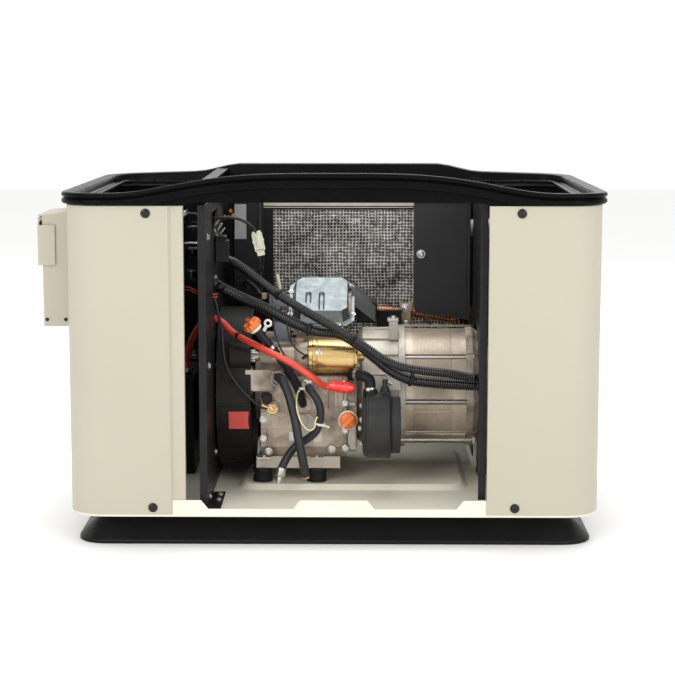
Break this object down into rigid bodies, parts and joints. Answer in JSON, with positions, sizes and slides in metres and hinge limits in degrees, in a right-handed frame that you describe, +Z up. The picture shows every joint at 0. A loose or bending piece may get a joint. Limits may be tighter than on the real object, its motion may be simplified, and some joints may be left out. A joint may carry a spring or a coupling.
{
  "type": "home standby generator",
  "caption": "Air-cooled home standby generator in a steel enclosure on a pad, lid and front panel off, showing engine, alternator, exhaust, looms and side breaker box",
  "frame": {"origin": "the middle of the mounting pad's underside, on the surface that it stands on", "axes": "+X to the right along the shaft, seen from the open service side; +Y to the back; +Z up"},
  "size_m": [0.9663, 0.656, 0.6325],
  "materials": {
    "cream_paint": "satin powder coat",
    "pan_paint": "satin powder coat",
    "black_moulding": "fine grain",
    "black_sheet_steel": "satin black paint",
    "fan_cover_paint": "matt black paint",
    "black_screws": "black oxide",
    "foil_scrim": "foil over glass scrim",
    "electrical_black": "moulded",
    "battery_case": "moulded",
    "switch_red": "moulded",
    "cast_alloy": "as cast",
    "galvanised_cover": "galvanised pressing",
    "laminations": "varnished steel laminations",
    "machined_steel": "machined",
    "starter_zinc": "yellow zinc plate",
    "armature_copper": "varnished windings",
    "isolator_rubber": "moulded rubber",
    "air_box_plastic": "moulded",
    "regulator_black": "satin black",
    "muffler_steel": "aluminised steel",
    "bellows_brown": "heat-stained corrugated steel",
    "filler_black": "moulded",
    "cap_orange": "moulded",
    "loom_conduit": "split corrugated conduit",
    "red_insulation": "soft insulation",
    "black_insulation": "soft insulation",
    "hose_rubber": "smooth hose",
    "connector_white": "moulded nylon"
  },
  "bodies": {
    "root": {"left_end_panel": "cream_paint", "right_end_panel": "cream_paint", "back_panel": "cream_paint", "breaker_box": "cream_paint", "base_pan": "pan_paint", "top_rim": "black_moulding", "mounting_pad": "black_moulding", "left_divider": "black_sheet_steel", "right_divider": "black_sheet_steel", "muffler_shield": "black_sheet_steel", "blower_housing": "fan_cover_paint", "panel_screw_1": "black_screws", "panel_screw_2": "black_screws", "panel_screw_3": "black_screws", "panel_screw_4": "black_screws", "back_insulation": "foil_scrim", "main_breaker": "electrical_black", "controller_box": "electrical_black", "ignition_box": "electrical_black", "battery": "battery_case", "crankcase": "cast_alloy", "cylinder": "cast_alloy", "alternator_adapter": "cast_alloy", "rear_bell": "cast_alloy", "rocker_cover": "galvanised_cover", "stator": "laminations", "flap_hinge_pin": "machined_steel", "engine_rail_front": "machined_steel", "engine_rail_rear": "machined_steel", "starter_motor": "starter_zinc", "isolator_front_1": "isolator_rubber", "isolator_front_2": "isolator_rubber", "isolator_rear_1": "isolator_rubber", "isolator_rear_2": "isolator_rubber", "isolator_alternator": "isolator_rubber", "air_box": "air_box_plastic", "fuel_regulator": "regulator_black", "muffler": "muffler_steel", "exhaust_bellows": "bellows_brown", "oil_fill_tube": "filler_black", "lower_loom": "loom_conduit", "upper_loom": "loom_conduit", "battery_cable": "red_insulation", "cable_boot": "red_insulation", "ground_cable": "black_insulation", "drain_hose": "hose_rubber", "breather_hose": "hose_rubber", "connector_lead": "connector_white"},
    "flap": {"breaker_box_flap": "cream_paint"},
    "breaker_lever": {"breaker_toggle": "electrical_black"},
    "mode_rocker": {"mode_switch": "switch_red"},
    "crank_train": {"crankshaft": "machined_steel", "flywheel": "machined_steel", "rotor": "laminations"},
    "cam": {"cam_gear": "machined_steel"},
    "piston": {"piston": "cast_alloy"},
    "starter_rotor": {"starter_armature": "armature_copper"},
    "starter_drive": {"starter_pinion": "machined_steel"},
    "dipstick": {"dipstick": "cap_orange"},
    "fill_cap": {"oil_fill_cap": "cap_orange"}
  },
  "joints": [
    {"name": "flap_hinge", "type": "hinge", "parent": "root", "child": "flap", "pos_m": [-0.5045, -0.15, 0.548], "axis": [0, 1, 0], "range_deg": [0, 90]},
    {"name": "breaker_lever_turn", "type": "hinge", "parent": "root", "child": "breaker_lever", "pos_m": [-0.484, -0.15, 0.509], "axis": [0, -1, 0], "range_deg": [0, 40]},
    {"name": "mode_rocker_turn", "type": "hinge", "parent": "root", "child": "mode_rocker", "pos_m": [-0.318, -0.15, 0.548], "axis": [1, 0, 0], "range_deg": [-10, 10]},
    {"name": "shaft_turn", "type": "hinge", "parent": "root", "child": "crank_train", "pos_m": [0, 0, 0.225], "axis": [1, 0, 0], "continuous": true},
    {"name": "cam_turn", "type": "hinge", "parent": "root", "child": "cam", "pos_m": [0, 0.0384, 0.1866], "axis": [1, 0, 0], "continuous": true},
    {"name": "piston_slide", "type": "slide", "parent": "root", "child": "piston", "axis": [0, 0, 1], "range_m": [0, 0.05]},
    {"name": "starter_turn", "type": "hinge", "parent": "root", "child": "starter_rotor", "pos_m": [0, -0.118, 0.297], "axis": [1, 0, 0], "continuous": true},
    {"name": "starter_drive_slide", "type": "slide", "parent": "starter_rotor", "child": "starter_drive", "axis": [-1, 0, 0], "range_m": [0, 0.016], "stiffness_N_per_m": 60},
    {"name": "dipstick_pull", "type": "slide", "parent": "root", "child": "dipstick", "axis": [-0.6073, -0.184, 0.7729], "range_m": [0, 0.07]},
    {"name": "fill_cap_turn", "type": "hinge", "parent": "root", "child": "fill_cap", "pos_m": [0.023, -0.16, 0.188], "axis": [0, -1, 0], "continuous": true}
  ],
  "couplings": [
    {"joint": "cam_turn", "follows": "shaft_turn", "ratio": -0.5}
  ]
}
